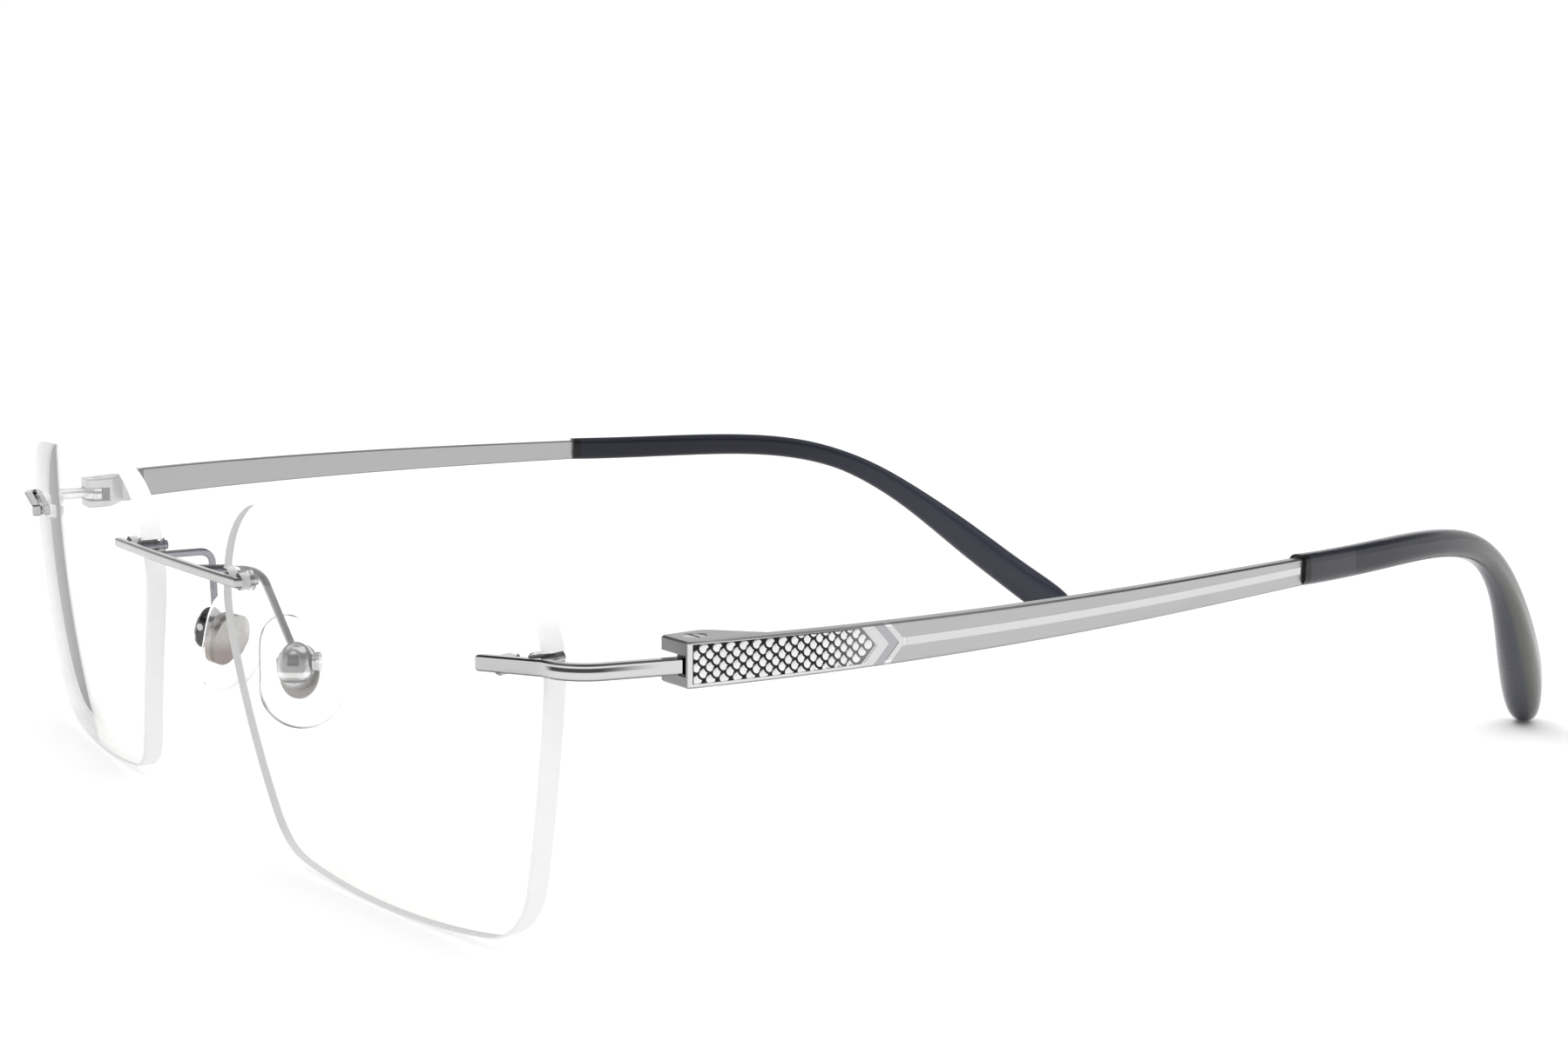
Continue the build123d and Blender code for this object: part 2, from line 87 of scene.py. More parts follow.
# ---------------------------------------------------------------- shading helpers
class Nodes:
    """A material's node tree, with short calls for places, arithmetic and colours."""

    def __init__(self, name, roughness, metallic=0.0, ior=1.5, transmission=0.0):
        self.material = bpy.data.materials.new(name)
        self.material.use_nodes = True
        self.tree = self.material.node_tree
        self.shader = self.tree.nodes["Principled BSDF"]
        self.set("Metallic", metallic)
        self.set("Roughness", roughness)
        self.set("IOR", ior)
        self.set("Transmission Weight", transmission)
        self.place = self.tree.nodes.new("ShaderNodeTexCoord")
        spread = self.tree.nodes.new("ShaderNodeSeparateXYZ")
        self.link(self.place.outputs["Object"], spread.inputs[0])
        facing = self.tree.nodes.new("ShaderNodeSeparateXYZ")
        self.link(self.place.outputs["Normal"], facing.inputs[0])
        self.x, self.y, self.z = spread.outputs
        self.nx, self.ny, self.nz = facing.outputs

    def set(self, socket, value):
        self.shader.inputs[socket].default_value = value

    def link(self, output, socket):
        self.tree.links.new(output, socket)

    def math(self, operation, *values, clamp=False):
        made = self.tree.nodes.new("ShaderNodeMath")
        made.operation = operation
        made.use_clamp = clamp
        for socket, value in zip(made.inputs, values):
            if isinstance(value, (int, float)):
                socket.default_value = value
            else:
                self.link(value, socket)
        return made.outputs[0]

    def times(self, first, *others):
        for other in others:
            first = self.math("MULTIPLY", first, other)
        return first

    def aside_mm(self):
        return self.times(self.math("ABSOLUTE", self.x), 1 / MM)

    def height_mm(self):
        return self.times(self.z, 1 / MM)

    def run_mm(self):
        return self.math("MULTIPLY_ADD", self.y, 1 / MM, HINGE_Y_MM)

    def steep(self):
        """1 where the surface faces up or down, 0 where it stands upright."""
        return self.math("ABSOLUTE", self.nz)

    def outward(self):
        """1 where the surface faces away from the plane of symmetry."""
        return self.times(self.nx, self.math("SIGN", self.x))

    def pad_distance_mm(self):
        """The distance from the nearer pad's origin, which is the middle of its screw."""
        origin = PAD_FRAME.translation
        across = self.math("SUBTRACT", self.math("ABSOLUTE", self.x), origin.x)
        back = self.math("SUBTRACT", self.y, origin.y)
        up = self.math("SUBTRACT", self.z, origin.z)
        total = self.times(across, across)
        for part in (back, up):
            total = self.math("ADD", total, self.times(part, part))
        return self.times(self.math("SQRT", total), 1 / MM)

    def facing_pad(self):
        """1 where the surface faces straight out from the nearer pad's cup."""
        out = PAD_TURN @ Vector((1.0, 0.0, 0.0))
        total = self.times(self.outward(), out.x)
        total = self.math("MULTIPLY_ADD", self.ny, out.y, total)
        return self.math("MULTIPLY_ADD", self.nz, out.z, total)

    def ramp(self, value, low, high):
        """0 at low, 1 at high, and smooth between them; falls if low is the larger."""
        made = self.tree.nodes.new("ShaderNodeMapRange")
        made.interpolation_type = "SMOOTHSTEP"
        made.inputs["From Min"].default_value = min(low, high)
        made.inputs["From Max"].default_value = max(low, high)
        made.inputs["To Min"].default_value = float(low > high)
        made.inputs["To Max"].default_value = float(low < high)
        self.link(value, made.inputs["Value"])
        return made.outputs["Result"]

    def band(self, value, stretch, soft):
        """1 between the ends of the stretch and 0 outside it, with soft edges."""
        low, high = stretch
        rise = self.ramp(value, low - soft, low + soft)
        fall = self.ramp(value, high - soft, high + soft)
        return self.math("SUBTRACT", rise, fall, clamp=True)

    def mix(self, share, first, second):
        """Colours first and second, as tuples or sockets, mixed by the socket share."""
        made = self.tree.nodes.new("ShaderNodeMix")
        made.data_type = "RGBA"
        sockets = [socket for socket in made.inputs if socket.type == "RGBA"]
        for socket, value in zip(sockets, (first, second)):
            if isinstance(value, tuple):
                socket.default_value = (*value, 1.0)
            else:
                self.link(value, socket)
        self.link(share, made.inputs[0])
        return [socket for socket in made.outputs if socket.type == "RGBA"][0]

    def noise(self, scale, stretch=(1.0, 1.0, 1.0), detail=3.0):
        mapping = self.tree.nodes.new("ShaderNodeMapping")
        mapping.inputs["Scale"].default_value = stretch
        self.link(self.place.outputs["Object"], mapping.inputs["Vector"])
        made = self.tree.nodes.new("ShaderNodeTexNoise")
        made.inputs["Scale"].default_value = scale
        made.inputs["Detail"].default_value = detail
        self.link(mapping.outputs["Vector"], made.inputs["Vector"])
        return made.outputs["Fac"]

    def colour(self, value):
        if isinstance(value, tuple):
            self.set("Base Color", (*value, 1.0))
        else:
            self.link(value, self.shader.inputs["Base Color"])

    def roughness(self, noise, low, high):
        made = self.tree.nodes.new("ShaderNodeMapRange")
        made.inputs["To Min"].default_value = low
        made.inputs["To Max"].default_value = high
        self.link(noise, made.inputs["Value"])
        self.link(made.outputs["Result"], self.shader.inputs["Roughness"])

    def bump(self, height, strength, distance):
        made = self.tree.nodes.new("ShaderNodeBump")
        made.inputs["Strength"].default_value = strength
        made.inputs["Distance"].default_value = distance
        self.link(height, made.inputs["Height"])
        self.link(made.outputs["Normal"], self.shader.inputs["Normal"])

    def mix_shaders(self, share, first, second):
        made = self.tree.nodes.new("ShaderNodeMixShader")
        self.link(share, made.inputs[0])
        self.link(first.outputs[0], made.inputs[1])
        self.link(second.outputs[0], made.inputs[2])
        return made

    def clear_shadow(self, tint, shader=None):
        """Lets light through a clear piece to what lies behind it, coloured by the tint."""
        path = self.tree.nodes.new("ShaderNodeLightPath")
        clear = self.tree.nodes.new("ShaderNodeBsdfTransparent")
        clear.inputs["Color"].default_value = (*tint, 1.0)
        made = self.mix_shaders(path.outputs["Is Shadow Ray"], shader or self.shader, clear)
        self.link(made.outputs[0], self.tree.nodes["Material Output"].inputs["Surface"])


def grey(value):
    return (value, value, value)


# ---------------------------------------------------------------- polished metal
PAINTED_END_SHINE_MM = (59.5, 62.5)         # aside: a painted reflection makes the end pieces brighter
PAINTED_STREAK_ASIDE_MM = (61.3, 64.6)       # a painted dark reflection along the end pieces
PAINTED_STREAK_HEIGHT_MM = (23.72, 24.02)
UNDER_SHADE_ASIDE_MM = (54.0, 60.0)          # painted shade under the end pieces: their lower parts get darker
UNDER_SHADE_HEIGHT_MM = (23.4, 23.1)
ARMS_ASIDE_MM = (13.2, 12.9)         # the pad arms and cups, below or behind the bridge bar
ARMS_HEIGHT_MM = (23.2, 22.8)
ARMS_RUN_MM = (-13.35, -13.1)
CUP_EDGE_MM = (2.6, 2.5)             # from the pad's origin
# the window's radius, filled with painted shade, then the heights of two painted highlights and of a painted
# dark line
CUP_WINDOW_MM = (1.0, 0.96)
CUP_HIGHLIGHTS_MM = ((17.1, 17.6), (14.95, 15.4))
CUP_DARK_LINE_MM = (14.5, 14.75)


def cup_painted_light(made):
    """A pad cup's painted light: painted highlights on the faces that look out and in two bands, a painted
    dark line below them, and painted shade at the rim and in the window.
    """
    facing = made.facing_pad()
    height = made.height_mm()
    upper, lower = CUP_HIGHLIGHTS_MM
    dome = made.mix(made.band(facing, (0.62, 0.9), 0.08), grey(0.24), grey(0.46))
    shine = made.math("MAXIMUM", made.band(height, upper, 0.1), made.band(height, lower, 0.08))
    dome = made.mix(made.times(shine, 0.8), dome, grey(0.8))
    dome = made.mix(made.band(height, CUP_DARK_LINE_MM, 0.05), dome, grey(0.08))
    dome = made.mix(made.ramp(facing, 0.5, 0.25), dome, grey(0.09))
    return made.mix(made.ramp(made.pad_distance_mm(), *CUP_WINDOW_MM), dome, grey(0.03))


def polished_metal():
    """Bright faces between painted dark bevels, painted reflections and shade on the end pieces, darker pad
    arms, and painted highlights and shade on the cups.
    """
    made = Nodes("polished metal", metallic=1.0, roughness=0.1)
    cloud = made.noise(260.0)
    aside = made.aside_mm()
    height = made.height_mm()
    face = made.mix(cloud, grey(0.42), grey(0.5))
    # painted reflection: the end pieces brighter towards the hinges
    face = made.mix(made.ramp(aside, *PAINTED_END_SHINE_MM), face, grey(0.56))
    # painted shade: darker bevels, and a darker grey on faces that look straight up or down
    edge = made.mix(made.ramp(made.steep(), 0.3, 0.6), face, grey(0.14))
    base = made.mix(made.ramp(made.steep(), 0.9, 0.97), edge, grey(0.33))
    # painted dark reflection along the end pieces
    streak = made.times(made.band(aside, PAINTED_STREAK_ASIDE_MM, 0.5), made.band(height, PAINTED_STREAK_HEIGHT_MM, 0.04))
    base = made.mix(streak, base, grey(0.05))
    # painted shade under the end pieces
    under_shade = made.times(made.ramp(aside, *UNDER_SHADE_ASIDE_MM), made.ramp(height, *UNDER_SHADE_HEIGHT_MM))
    base = made.mix(made.times(under_shade, 0.35), base, grey(0.3))
    below = made.ramp(height, *ARMS_HEIGHT_MM)
    behind = made.ramp(made.run_mm(), *ARMS_RUN_MM)
    near_nose = made.times(made.ramp(aside, *ARMS_ASIDE_MM), made.math("MAXIMUM", below, behind))
    arm = made.mix(cloud, (0.24, 0.235, 0.27), (0.33, 0.32, 0.345))
    base = made.mix(near_nose, base, arm)
    on_cup = made.times(made.ramp(made.pad_distance_mm(), *CUP_EDGE_MM), near_nose)
    made.colour(made.mix(on_cup, base, cup_painted_light(made)))
    made.roughness(cloud, 0.08, 0.17)
    made.bump(made.noise(5200.0, (1.0, 0.15, 1.0)), 0.06, 0.00002)
    return made.material


# ---------------------------------------------------------------- satin metal
BLADE_START_MM = -0.3                # run: where the temple's blade begins
BLADE_MIDDLE_MM = 23.85              # height of the blade's middle there
BLADE_RISE = 0.03069                 # and how that middle climbs along the run
BLADE_SAG = 0.000113                 # and falls, with the square of the run
STRIPE_HALF_MM = 0.3                 # the polished centre line
CHEVRON_SLOPE = 0.89                 # how far a chevron's arms run forward as they leave the middle
ARROW_END_MM = (14.4, 14.3)          # arrow: the run, measured along the chevrons' slope
FIRST_CHEVRON_MM = (14.3, 15.4)
CHEVRON_GAP_MM = (15.4, 16.3)
LAST_CHEVRON_MM = (16.3, 16.85)
STRIPE_START_MM = (16.8, 16.9)
SHINE_MM = (13.0, 16.85)
EDGE_SHADE_AWAY_MM = (1.15, 1.6)      # away: the distance from the middle of the blade; painted shade darkens the outer face's edges
EDGE_SHADE_RUN_MM = (15.0, 24.0)
SLOT_ASIDE_MM = (65.66, 65.62)       # the fork's slot, round the end piece's tongue
SLOT_HEIGHT_MM = (22.9, 24.48)
SLOT_FRONT_MM = (-0.26, -0.2)
SLOT_BACK_MM = (3.05, 3.0)


def satin_face(made, brushed, away, arrow, stripe):
    """The outer face: brushed, with the centre line and the chevrons behind the inlay, and painted shade
    along its edges.
    """
    face = made.mix(brushed, grey(0.385), grey(0.47))
    face = made.mix(stripe, face, grey(0.68))
    face = made.mix(made.band(arrow, LAST_CHEVRON_MM, 0.05), face, grey(0.72))
    face = made.mix(made.band(arrow, CHEVRON_GAP_MM, 0.05), face, (0.37, 0.37, 0.385))
    face = made.mix(made.band(arrow, FIRST_CHEVRON_MM, 0.05), face, (0.58, 0.58, 0.6))
    face = made.mix(made.ramp(arrow, *ARROW_END_MM), face, grey(0.64))
    # painted shade along the outer face's edges, towards the rear
    rim = made.times(made.ramp(away, *EDGE_SHADE_AWAY_MM), made.ramp(made.run_mm(), *EDGE_SHADE_RUN_MM))
    return made.mix(made.times(rim, 0.35), face, grey(0.3))


def fork_slot(made):
    """1 inside the slot of the hinge's fork."""
    run = made.run_mm()
    slot = made.times(made.ramp(made.aside_mm(), *SLOT_ASIDE_MM), made.ramp(run, *SLOT_BACK_MM))
    return made.times(slot, made.band(made.height_mm(), SLOT_HEIGHT_MM, 0.02), made.ramp(run, *SLOT_FRONT_MM))


def satin_metal():
    """The temples: satin with polished trim, painted shade on the bevels, the front faces and the outer
    face's edges, and the slot painted nearly black as shade.
    """
    made = Nodes("satin metal", metallic=1.0, roughness=0.3)
    past = made.math("SUBTRACT", made.run_mm(), BLADE_START_MM)
    rise = made.math("MULTIPLY_ADD", past, BLADE_RISE, BLADE_MIDDLE_MM)
    centre = made.math("SUBTRACT", rise, made.times(past, past, BLADE_SAG))
    away = made.math("ABSOLUTE", made.math("SUBTRACT", made.height_mm(), centre))
    arrow = made.math("MULTIPLY_ADD", away, CHEVRON_SLOPE, made.run_mm())
    stripe = made.times(made.band(away, (-1.0, STRIPE_HALF_MM), 0.04), made.ramp(arrow, *STRIPE_START_MM))
    brushed = made.noise(900.0, (1.0, 0.02, 1.0), 5.0)
    outer = made.ramp(made.outward(), 0.55, 0.8)
    # painted shade: faces that look forward are darker
    front = made.ramp(made.ny, -0.75, -0.95)
    sides = made.mix(front, grey(0.42), grey(0.25))
    whole = made.mix(outer, sides, satin_face(made, brushed, away, arrow, stripe))
    # painted shade on the bevels
    level = made.ramp(made.steep(), 0.9, 0.97)
    bevel_shade = made.times(made.ramp(made.steep(), 0.45, 0.65), made.math("SUBTRACT", 1.0, level))
    whole = made.mix(made.times(bevel_shade, 0.7), whole, grey(0.2))
    # painted shade: the fork's slot nearly black
    made.colour(made.mix(fork_slot(made), whole, grey(0.012)))

    shine = made.math("ADD", stripe, made.band(arrow, SHINE_MM, 0.1), clamp=True)
    shine = made.times(shine, outer)
    rough = made.math("MULTIPLY_ADD", brushed, 0.12, 0.26)
    made.link(made.math("SUBTRACT", rough, made.times(shine, 0.17)), made.shader.inputs["Roughness"])
    made.bump(made.math("ADD", shine, made.times(brushed, 0.12)), 0.25, 0.00004)
    return made.material


# ---------------------------------------------------------------- other metals and enamel
ENAMEL_FADE_MM = (9.5, 14.5)         # run: the black ground turns grey
INSERT_WARM_MM = (15.4, 13.6)        # height: the insert's lower end is browner
INSERT_SHADE_MM = (1.35, 1.2)        # from the pad's origin: the shade in the cup


def enamel():
    """The black ground of the inlay, greyer towards its rear."""
    made = Nodes("black enamel", roughness=0.28)
    made.set("Specular IOR Level", 0.15)
    fade = made.ramp(made.run_mm(), *ENAMEL_FADE_MM)
    grain = made.noise(1500.0)
    dark = made.mix(grain, (0.008, 0.008, 0.009), (0.02, 0.02, 0.022))
    made.colour(made.mix(fade, dark, (0.22, 0.22, 0.225)))
    made.bump(grain, 0.15, 0.00003)
    return made.material


def scale_metal():
    made = Nodes("scale metal", metallic=1.0, roughness=0.2)
    made.colour(made.mix(made.noise(700.0), grey(0.62), grey(0.8)))
    made.bump(made.noise(2600.0), 0.12, 0.00003)
    return made.material


def trim_metal():
    made = Nodes("polished trim", metallic=1.0, roughness=0.12)
    made.colour(made.mix(made.noise(500.0, (1.0, 0.1, 1.0)), grey(0.55), grey(0.62)))
    made.bump(made.noise(1800.0, (1.0, 0.08, 1.0)), 0.06, 0.00002)
    return made.material


def screw_metal():
    made = Nodes("screw metal", metallic=1.0, roughness=0.22)
    turned = made.noise(2400.0, (1.0, 1.0, 0.05), 4.0)
    made.colour(made.mix(turned, grey(0.42), grey(0.58)))
    made.roughness(turned, 0.16, 0.3)
    made.bump(turned, 0.2, 0.00002)
    return made.material


def insert_metal():
    """The plates in the nose pads: grey, browner low down and dark inside the cup."""
    made = Nodes("pad insert metal", metallic=1.0, roughness=0.26)
    worn = made.noise(520.0)
    low = made.ramp(made.height_mm(), *INSERT_WARM_MM)
    bright = made.mix(worn, (0.33, 0.32, 0.31), (0.44, 0.43, 0.41))
    plate = made.mix(low, bright, (0.27, 0.235, 0.22))
    made.colour(made.mix(made.ramp(made.pad_distance_mm(), *INSERT_SHADE_MM), plate, grey(0.03)))
    made.roughness(worn, 0.2, 0.34)
    made.bump(made.noise(3000.0, (1.0, 1.0, 0.1)), 0.12, 0.00002)
    return made.material


# ---------------------------------------------------------------- clear materials and acetate
LENS_INDEX = 1.25            # lower than the resin's own, for fewer reflections
SOFT_INDEX = 1.12            # of the silicone and the bushings, lowered for the same reason
RIM_INDEX = 1.3
RIM_PALENESS = 0.78
RIM_GRAIN = 0.02
GREEN_END_MM = (84.0, 114.0)         # run: the tips turn from navy to grey-green
CORE_MM = (64.0, 71.2)               # run: the metal core shows through
SEAM_MM = (64.0, 63.6)               # run: the dark front end of a tip


def lens_resin():
    """Clear faces and a pale, finely ground rim."""
    made = Nodes("lens resin", roughness=0.0, ior=LENS_INDEX, transmission=1.0)
    made.colour((1.0, 1.0, 0.992))
    made.roughness(made.noise(1400.0, detail=2.0), 0.0, 0.004)
    rim = made.tree.nodes.new("ShaderNodeBsdfPrincipled")
    rim.inputs["Roughness"].default_value = 0.5
    rim.inputs["IOR"].default_value = RIM_INDEX
    ground = made.mix(made.noise(1100.0), grey(RIM_PALENESS - RIM_GRAIN), grey(RIM_PALENESS + RIM_GRAIN))
    made.link(ground, rim.inputs["Base Color"])
    on_rim = made.ramp(made.math("ABSOLUTE", made.ny), 0.9, 0.8)
    made.clear_shadow((0.985, 0.985, 0.98), made.mix_shaders(on_rim, made.shader, rim))
    return made.material


def clear_bushing():
    made = Nodes("clear bushing", roughness=0.1, ior=SOFT_INDEX, transmission=1.0)
    haze = made.noise(1800.0)
    made.colour(made.mix(haze, (0.92, 0.93, 0.93), (0.99, 0.99, 0.985)))
    made.roughness(haze, 0.06, 0.18)
    made.clear_shadow((0.8, 0.8, 0.8))
    return made.material


def silicone():
    """Clear and soft, with a faint warm grey of painted shade where it is seen edge-on."""
    made = Nodes("clear silicone", roughness=0.06, ior=SOFT_INDEX, transmission=1.0)
    haze = made.noise(420.0)
    clear = made.mix(haze, (0.99, 0.986, 0.976), (0.998, 0.996, 0.99))
    weight = made.tree.nodes.new("ShaderNodeLayerWeight")
    # painted shade where the pad is seen edge-on
    edge_on = made.ramp(weight.outputs["Facing"], 0.6, 0.98)
    made.colour(made.mix(edge_on, clear, (0.7, 0.685, 0.665)))
    made.roughness(haze, 0.03, 0.1)
    made.bump(made.noise(900.0), 0.04, 0.00005)
    made.clear_shadow((0.94, 0.935, 0.93))
    return made.material


def acetate():
    """Dark navy with a lighter zone over the metal core, turning grey-green towards the end on the outward
    faces; painted shade keeps the inward faces darker and bluish there.
    """
    made = Nodes("dark acetate", roughness=0.13, ior=1.49)
    made.set("Specular IOR Level", 0.3)
    run = made.run_mm()
    depth = made.noise(160.0, (1.0, 0.4, 1.0))
    navy = made.mix(depth, (0.004, 0.005, 0.011), (0.011, 0.012, 0.02))
    green = made.mix(depth, (0.062, 0.065, 0.057), (0.088, 0.091, 0.08))
    # painted shade: the inward faces keep this darker bluish colour where the outward faces turn grey-green
    blue = made.mix(depth, (0.02, 0.022, 0.034), (0.033, 0.034, 0.046))
    rear = made.mix(made.ramp(made.outward(), 0.35, 0.75), blue, green)
    base = made.mix(made.ramp(run, *GREEN_END_MM), navy, rear)
    core = made.times(made.band(run, CORE_MM, 0.25), made.ramp(made.outward(), 0.5, 0.9))
    base = made.mix(made.times(core, 0.8), base, (0.03, 0.03, 0.041))
    made.colour(made.mix(made.ramp(run, *SEAM_MM), base, (0.003, 0.003, 0.004)))
    made.roughness(depth, 0.1, 0.2)
    made.bump(made.noise(380.0), 0.03, 0.0001)
    return made.material


materials = {
    "polished_metal": polished_metal(),
    "satin_metal": satin_metal(),
    "inlay": enamel(),
    "scales": scale_metal(),
    "trim": trim_metal(),
    "screw_metal": screw_metal(),
    "pad_insert": insert_metal(),
    "lens": lens_resin(),
    "clear_bushing": clear_bushing(),
    "silicone": silicone(),
    "acetate": acetate(),
}
for row in frame["record"]["subparts"]:
    used = nodes[row["node"]]
    for slot in used.material_slots:
        slot.material = materials[row["material_slot"]]


# ---------------------------------------------------------------- helpers for new pieces
def mesh_object(name, vertices, faces, material, smooth=True):
    mesh = bpy.data.meshes.new(name)
    mesh.from_pydata(vertices, [], faces)
    mesh.update()
    work = bmesh.new()
    work.from_mesh(mesh)
    bmesh.ops.recalc_face_normals(work, faces=work.faces)
    work.to_mesh(mesh)
    work.free()
    for face in mesh.polygons:
        face.use_smooth = smooth
    mesh.materials.append(material)
    made = bpy.data.objects.new(name, mesh)
    scene.collection.objects.link(made)
    return made


def mirrored(points):
    return [Vector((-p.x, p.y, p.z)) for p in points]


def held(value, low, high):
    return min(max(value, low), high)


def between(pair, share):
    return pair[0] + (pair[1] - pair[0]) * share


def ring_sides(rings, steps, first=0):
    """The faces between rings of points, ring by ring, each closed on itself."""
    sides = []
    for ring in range(rings - 1):
        for step in range(steps):
            a = first + ring * steps + step
            b = first + ring * steps + (step + 1) % steps
            sides.append((a, b, b + steps, a + steps))
    return sides


def part_tree(name):
    shape = bmesh.new()
    shape.from_mesh(nodes[name].data)
    tree = BVHTree.FromBMesh(shape)
    shape.free()
    return tree


def outer_face(tree, y, z):
    """A place on the outer face of a part of the left temple, and its outward direction."""
    well_outside = 0.1
    start = Vector((well_outside, (y - HINGE_Y_MM) * MM, z * MM))
    hit, normal, _, _ = tree.ray_cast(start, Vector((-1, 0, 0)))
    return hit, normal


# ---------------------------------------------------------------- inlay scales
# Tilted bright domes on black steps, in staggered overlapping columns.
SCALE_COLUMNS = 29
SCALE_COLUMN_MM = 0.49
SCALE_FRONT_MM = 0.3                 # from the plate's front edge to the first column
SCALE_ROWS = range(-1, 5)
SCALE_ROW_MM = 0.9
SCALE_LOW_MM = 22.75                 # height of row 0, where the plate starts
SCALE_CLIMB = 0.0205
SCALE_ROUND_MM = 0.36                # radius at which the tilt reaches its full change
SCALE_OVERHANG_MM = 0.1              # how far past the plate's edges a scale's middle may be
SCALE_POINT_GAP_MM = 0.15            # and how far it stays from the plate's rear end
SCALE_STEPS = 18
SCALE_RAISE_MM = 0.15
SCALE_TILT = (0.5, 0.42)             # share of the raise in the middle, and its change
SCALE_TILT_LIMITS = (0.08, 0.95)
SCALE_DOWNHILL = (0.94, 0.34)        # back and up
STEP_RINGS = ((0.52, -0.02), (0.5, 0.46), (0.36, 0.6))          # radius, share of the raise
DOME_RINGS = ((0.345, 0.66), (0.31, 0.86), (0.23, 1.0), (0.11, 1.06))
PLATE_START_MM = 0.1
PLATE_CORNER_MM = 13.1               # where the plate's arrow-shaped end begins
PLATE_POINT_MM = 14.3
PLATE_LOW_MM = (22.45, 22.95)        # heights at the start and at the corner
PLATE_TOP_MM = (25.3, 25.65)
PLATE_MARGIN_MM = 0.04
POINT_MARGIN_MM = 0.05


def plate_limits(y):
    along = held((y - PLATE_START_MM) / (PLATE_CORNER_MM - PLATE_START_MM), 0.0, 1.0)
    return between(PLATE_LOW_MM, along), between(PLATE_TOP_MM, along)


def plate_reach(z):
    """How far back the plate's arrow-shaped end runs at that height."""
    middle = (PLATE_LOW_MM[1] + PLATE_TOP_MM[1]) / 2
    share = abs(z - middle) / (PLATE_TOP_MM[1] - middle)
    return PLATE_POINT_MM - (PLATE_POINT_MM - PLATE_CORNER_MM) * share


def held_inside(y, z):
    """The nearest place to y and z that is on the plate."""
    low, top = plate_limits(y)
    z = held(z, low + PLATE_MARGIN_MM, top - PLATE_MARGIN_MM)
    return held(y, PLATE_START_MM + PLATE_MARGIN_MM, plate_reach(z) - POINT_MARGIN_MM), z


def scale_centres():
    """The middles of the scales that fit on the plate."""
    for column in range(SCALE_COLUMNS):
        y = PLATE_START_MM + SCALE_FRONT_MM + column * SCALE_COLUMN_MM
        shift = 0.5 * SCALE_ROW_MM if column % 2 else 0.0
        low, top = plate_limits(y)
        for row in SCALE_ROWS:
            z = SCALE_LOW_MM + SCALE_CLIMB * y + shift + row * SCALE_ROW_MM
            if not low - SCALE_OVERHANG_MM < z < top + SCALE_OVERHANG_MM:
                continue
            if y < plate_reach(z) - SCALE_POINT_GAP_MM:
                yield y, z


def scale_rise(across, up, lift):
    """How far a point of a scale stands off the plate. The sunk ring is level, the rest tilts."""
    if lift < 0:
        return lift * SCALE_RAISE_MM
    downhill = SCALE_DOWNHILL[0] * across + SCALE_DOWNHILL[1] * up
    tilt = SCALE_TILT[0] - SCALE_TILT[1] * downhill / SCALE_ROUND_MM
    return lift * SCALE_RAISE_MM * held(tilt, *SCALE_TILT_LIMITS)


def make_scales():
    """The left inlay's scales: points, faces, and which of the faces are black."""
    tree = part_tree("temple_inlay_left")
    rings = STEP_RINGS + DOME_RINGS
    vertices, faces, blacks = [], [], []
    for y, z in scale_centres():
        first = len(vertices)
        for radius, lift in rings:
            for step in range(SCALE_STEPS):
                turn = 2 * pi * step / SCALE_STEPS
                across = radius * cos(turn)
                up = radius * sin(turn)
                hit, normal = outer_face(tree, *held_inside(y + across, z + up))
                vertices.append(hit + normal * scale_rise(across, up, lift) * MM)
        faces += ring_sides(len(rings), SCALE_STEPS, first)
        blacks += [ring < len(STEP_RINGS) for ring in range(len(rings) - 1) for _ in range(SCALE_STEPS)]
        last = first + (len(rings) - 1) * SCALE_STEPS
        faces.append(tuple(range(last, last + SCALE_STEPS)))
        faces.append(tuple(reversed(range(first, first + SCALE_STEPS))))
        blacks += [False, True]
    return vertices, faces, blacks


# ---------------------------------------------------------------- trim on the temples
# The polished centre line and the chevrons behind the inlay, standing just proud of the satin.
TRIM_RAISE_MM = 0.035
TRIM_SINK_MM = 0.05
TRIM_CHEVRONS_MM = ((14.42, 15.4), (16.3, 16.85))
CHEVRON_HALF_MM = 1.22
CHEVRON_STEPS = 12                   # on each side of the middle
TRIM_STRIPE_MM = (16.95, 63.2)
STRIPE_STEPS = 140


def blade_middle(y):
    past = y - BLADE_START_MM
    return BLADE_MIDDLE_MM + BLADE_RISE * past - BLADE_SAG * past * past


def ribbon(tree, pairs):
    """A thin closed bar on the temple's outer face, between two rows of places."""
    vertices = []
    for pair in pairs:
        for index, (y, z) in enumerate(pair):
            hit, normal = outer_face(tree, y, z)
            shell = [hit - normal * TRIM_SINK_MM * MM, hit + normal * TRIM_RAISE_MM * MM]
            vertices += shell if index == 0 else shell[::-1]
    faces = ring_sides(len(pairs), 4)
    faces.append((3, 2, 1, 0))
    faces.append(tuple(range(len(vertices) - 4, len(vertices))))
    return vertices, faces


def chevron_pairs(start, end):
    pairs = []
    for step in range(-CHEVRON_STEPS, CHEVRON_STEPS + 1):
        away = CHEVRON_HALF_MM * step / CHEVRON_STEPS
        back = CHEVRON_SLOPE * abs(away)
        pairs.append([(y, blade_middle(y) + away) for y in (start - back, end - back)])
    return pairs


def stripe_pairs():
    pairs = []
    for step in range(STRIPE_STEPS + 1):
        y = between(TRIM_STRIPE_MM, step / STRIPE_STEPS)
        pairs.append([(y, blade_middle(y) + side * STRIPE_HALF_MM) for side in (-1, 1)])
    return pairs


